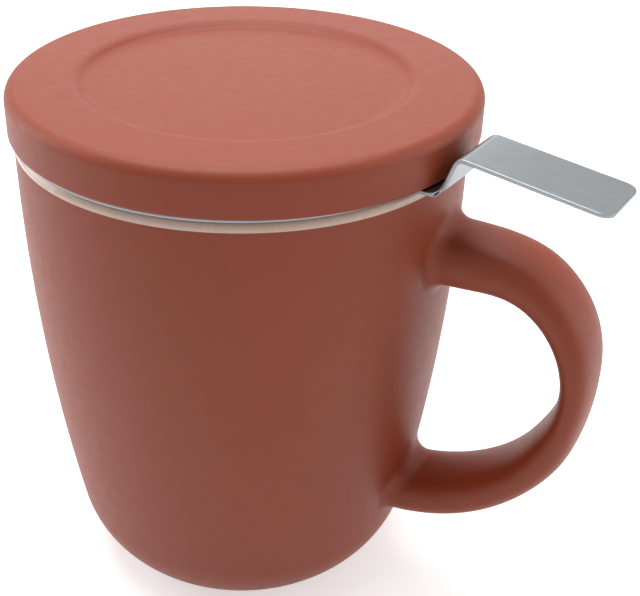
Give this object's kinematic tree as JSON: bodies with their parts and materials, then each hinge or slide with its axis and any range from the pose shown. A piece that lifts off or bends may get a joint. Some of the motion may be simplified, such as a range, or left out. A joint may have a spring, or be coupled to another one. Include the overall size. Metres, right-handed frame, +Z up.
{
  "type": "lidded infuser mug",
  "caption": "Stoneware tea mug with a C handle, a lift-out stainless infuser with a flat tab, and a thick lift-off lid.",
  "frame": {"origin": "centre of the foot ring, in the plane that the mug stands on", "axes": "+Z up along the mug's axis, +X towards the handle and the infuser's tab"},
  "size_m": [0.1274, 0.096, 0.1151],
  "materials": {
    "stoneware_terracotta": "terracotta matt glaze",
    "cream_glaze": "gloss cream glaze",
    "stainless_satin": "satin",
    "stainless_perforated": "satin"
  },
  "bodies": {
    "mug": {"mug_body": "stoneware_terracotta", "mug_handle": "stoneware_terracotta", "liner_glaze": "cream_glaze"},
    "infuser": {"infuser_rim": "stainless_satin", "infuser_collar": "stainless_satin", "infuser_wall": "stainless_perforated", "infuser_base": "stainless_perforated"},
    "lid": {"lid_body": "stoneware_terracotta"}
  },
  "joints": [
    {"name": "infuser_lift", "type": "slide", "parent": "mug", "child": "infuser", "axis": [0, 0, 1], "range_m": [0, 0.085]},
    {"name": "lid_lift", "type": "slide", "parent": "infuser", "child": "lid", "axis": [0, 0, 1], "range_m": [0, 0.04]}
  ]
}
